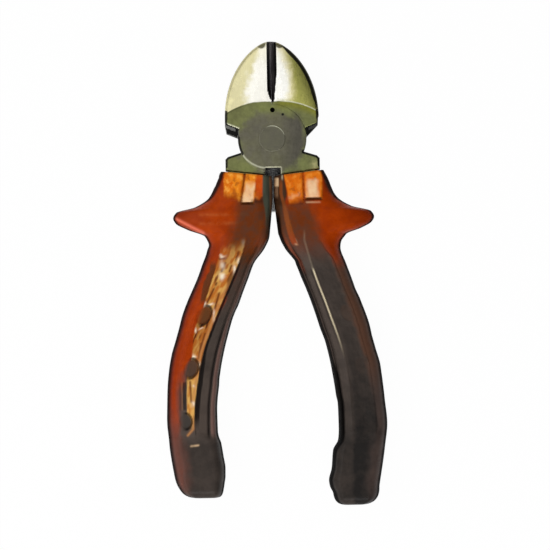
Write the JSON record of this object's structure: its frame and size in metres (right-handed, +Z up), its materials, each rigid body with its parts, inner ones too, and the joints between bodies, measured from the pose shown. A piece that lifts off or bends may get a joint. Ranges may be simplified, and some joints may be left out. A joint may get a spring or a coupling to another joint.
{
  "type": "diagonal cutter",
  "caption": "Lap-joint diagonal cutter with domed egg-shaped jaws, notched neck, flush rivet and translucent moulded grips with thumb guards, shown shut.",
  "frame": {"origin": "middle of the tool's outline, on the plane that it lies on", "axes": "+Y along the tool towards the jaws, +X to the right seen from the front, +Z up out of the front face"},
  "size_m": [0.0766, 0.161, 0.016],
  "materials": {
    "forged_steel": "ground jaw faces, oiled grey joint",
    "rivet_steel": "ground flush",
    "amber_plastic": "glossy translucent orange-red moulding"
  },
  "bodies": {
    "rear_side": {"rear_half": "forged_steel", "left_grip": "amber_plastic", "pivot_rivet": "rivet_steel"},
    "front_side": {"front_half": "forged_steel", "right_grip": "amber_plastic"}
  },
  "joints": [
    {"name": "jaw_pivot", "type": "hinge", "parent": "rear_side", "child": "front_side", "pos_m": [0, 0.0467, 0.008], "axis": [0, 0, 1], "range_deg": [0, 24]}
  ]
}
